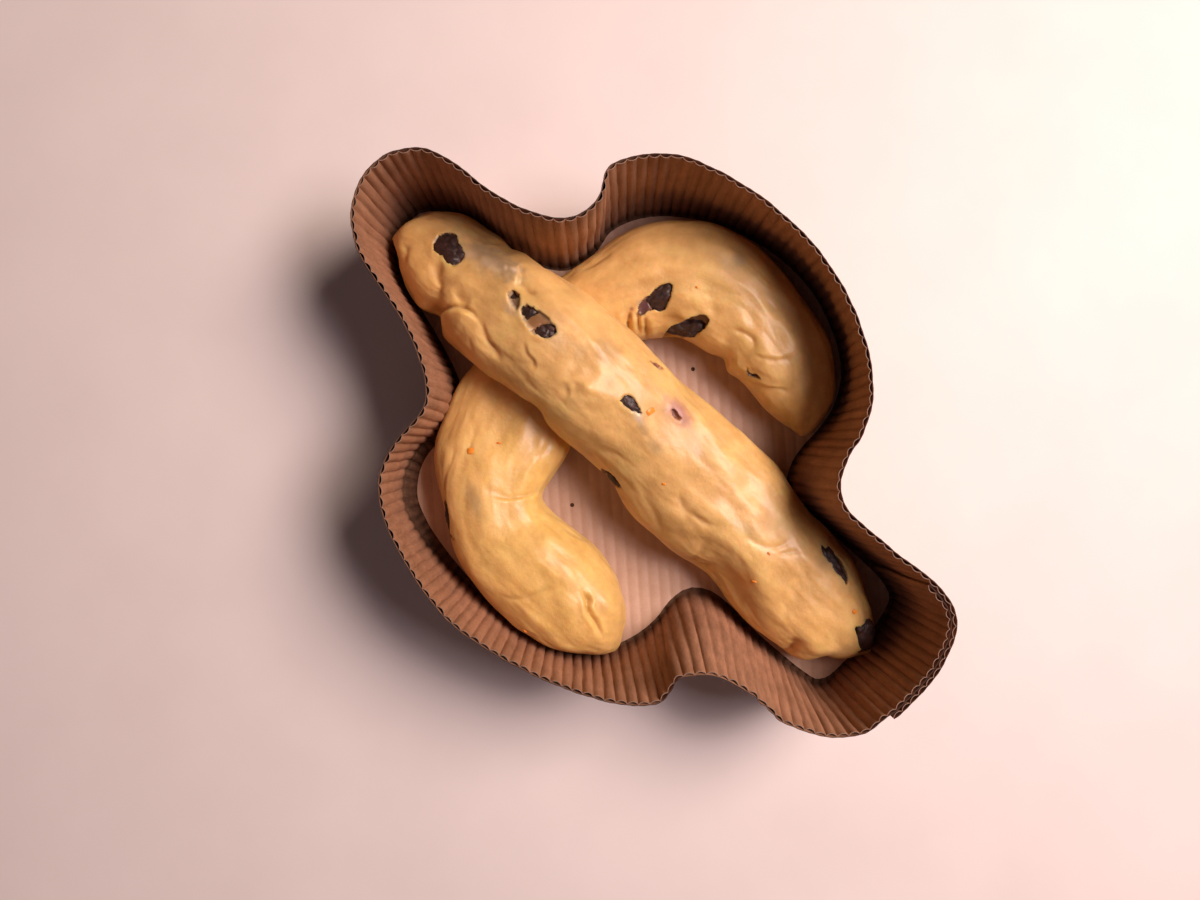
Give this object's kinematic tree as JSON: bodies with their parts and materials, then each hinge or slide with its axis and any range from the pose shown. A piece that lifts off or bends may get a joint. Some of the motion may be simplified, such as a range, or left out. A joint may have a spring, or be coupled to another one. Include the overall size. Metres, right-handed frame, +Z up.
{
  "type": "unbaked dove-shaped sweet dough in its paper mould",
  "caption": "Two soft raisin dough rolls laid crosswise as a dove, resting in a fluted brown paper baking case, ready to bake.",
  "frame": {"origin": "middle of the underside, on the surface the case stands on", "axes": "+X along the body roll from the dove's head to its tail, +Y towards one wing, +Z up"},
  "size_m": [0.2985, 0.2172, 0.07],
  "materials": {
    "kraft_board": "matt brown single-face corrugated paper board, fluted inside, smooth outside, pale cut edge",
    "floor_paper": "matt pinkish cream paper board with faint straight ribs",
    "dough": "soft moist pale yellow raw dough with a slight sheen",
    "raisin": "dark wrinkled dried fruit with a moist sheen"
  },
  "bodies": {
    "root": {"case_wall": "kraft_board", "case_floor": "floor_paper", "dough_body": "dough", "dough_wings": "dough", "raisin_head": "raisin", "raisin_neck_a": "raisin", "raisin_neck_b": "raisin", "raisin_neck_c": "raisin", "raisin_breast": "raisin", "raisin_back": "raisin", "raisin_flank": "raisin", "raisin_side": "raisin", "raisin_crook": "raisin", "raisin_rump": "raisin", "raisin_tail": "raisin", "raisin_wing_a": "raisin", "raisin_wing_b": "raisin", "raisin_wing_c": "raisin", "raisin_wing_d": "raisin"}
  },
  "joints": []
}
